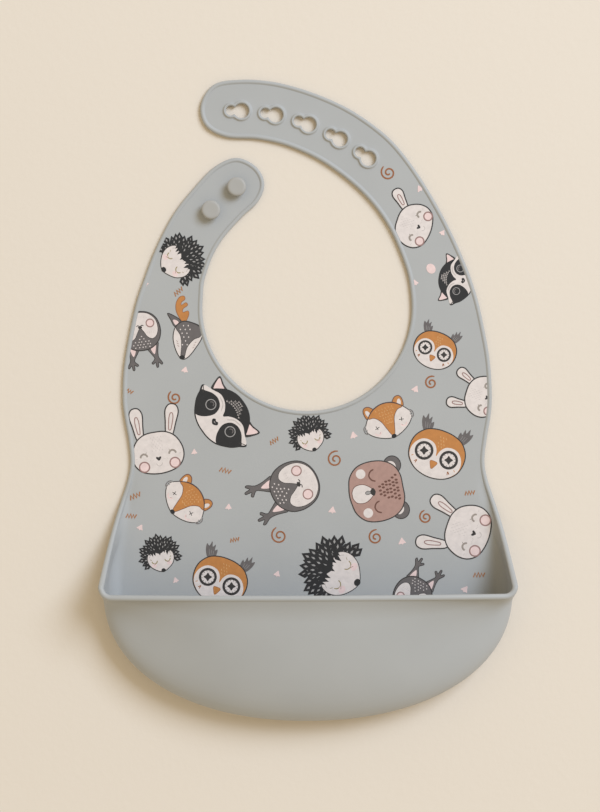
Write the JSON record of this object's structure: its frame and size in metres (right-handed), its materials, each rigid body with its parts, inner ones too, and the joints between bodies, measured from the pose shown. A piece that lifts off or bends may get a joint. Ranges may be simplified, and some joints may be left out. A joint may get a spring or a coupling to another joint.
{
  "type": "silicone bib",
  "caption": "Soft silicone bib with an open catch pocket along its lower edge and two neck straps that fasten with studs in keyholes.",
  "frame": {"origin": "middle of the bib's length and width, on the surface that its back lies on", "axes": "+X across the chest, +Y from the pocket towards the neck straps, +Z out of the printed front"},
  "size_m": [0.2048, 0.3186, 0.0363],
  "materials": {
    "silicone_sheet": "matt silicone, with printed figures on the chest and lower panel",
    "silicone_bead": "matt silicone",
    "silicone_stud": "matt silicone"
  },
  "bodies": {
    "apron": {"lower_panel": "silicone_sheet", "pocket_floor": "silicone_sheet", "pocket_side_left": "silicone_sheet", "pocket_side_right": "silicone_sheet", "side_rim_left": "silicone_bead", "side_rim_right": "silicone_bead"},
    "pocket_wall": {"pocket_front": "silicone_sheet", "pocket_lip": "silicone_bead"},
    "chest": {"chest_panel": "silicone_sheet", "chest_rim_left": "silicone_bead", "chest_rim_right": "silicone_bead", "neck_rim": "silicone_bead"},
    "stud_strap": {"stud_strap_root": "silicone_sheet", "stud_root_rim_outer": "silicone_bead", "stud_root_rim_inner": "silicone_bead"},
    "stud_end": {"stud_strap_tip": "silicone_sheet", "stud_tip_rim": "silicone_bead", "upper_stud": "silicone_stud", "lower_stud": "silicone_stud"},
    "hole_strap": {"hole_strap_root": "silicone_sheet", "hole_root_rim_outer": "silicone_bead", "hole_root_rim_inner": "silicone_bead"},
    "hole_middle": {"hole_strap_mid": "silicone_sheet", "hole_mid_rim_outer": "silicone_bead", "hole_mid_rim_inner": "silicone_bead", "keyhole_collar_4": "silicone_bead", "keyhole_collar_5": "silicone_bead"},
    "hole_end": {"hole_strap_tip": "silicone_sheet", "hole_tip_rim": "silicone_bead", "keyhole_collar_1": "silicone_bead", "keyhole_collar_2": "silicone_bead", "keyhole_collar_3": "silicone_bead"}
  },
  "joints": [
    {"name": "waist_bend", "type": "hinge", "parent": "apron", "child": "chest", "pos_m": [0, -0.026, 0.0009], "axis": [1, 0, 0], "range_deg": [0, 60], "stiffness_Nm_per_rad": 0.06},
    {"name": "stud_strap_bend", "type": "hinge", "parent": "chest", "child": "stud_strap", "pos_m": [-0.071, 0.038, 0.0009], "axis": [1, 0, 0], "range_deg": [0, 75], "stiffness_Nm_per_rad": 0.02},
    {"name": "stud_end_bend", "type": "hinge", "parent": "stud_strap", "child": "stud_end", "pos_m": [-0.0575, 0.082, 0.0009], "axis": [0.866, -0.5, 0], "range_deg": [0, 60], "stiffness_Nm_per_rad": 0.02},
    {"name": "hole_strap_bend", "type": "hinge", "parent": "chest", "child": "hole_strap", "pos_m": [0.071, 0.038, 0.0009], "axis": [1, 0, 0], "range_deg": [0, 60], "stiffness_Nm_per_rad": 0.02},
    {"name": "hole_middle_bend", "type": "hinge", "parent": "hole_strap", "child": "hole_middle", "pos_m": [0.0535, 0.09, 0.0009], "axis": [0.866, 0.5, 0], "range_deg": [0, 45], "stiffness_Nm_per_rad": 0.02},
    {"name": "hole_end_bend", "type": "hinge", "parent": "hole_middle", "child": "hole_end", "pos_m": [0.00714, 0.13459, 0.0009], "axis": [0.4105, 0.9119, 0], "range_deg": [0, 35], "stiffness_Nm_per_rad": 0.02},
    {"name": "pocket_mouth_open", "type": "hinge", "parent": "apron", "child": "pocket_wall", "pos_m": [0, -0.1586, 0.011], "axis": [1, 0, 0], "range_deg": [0, 8], "stiffness_Nm_per_rad": 0.2}
  ]
}
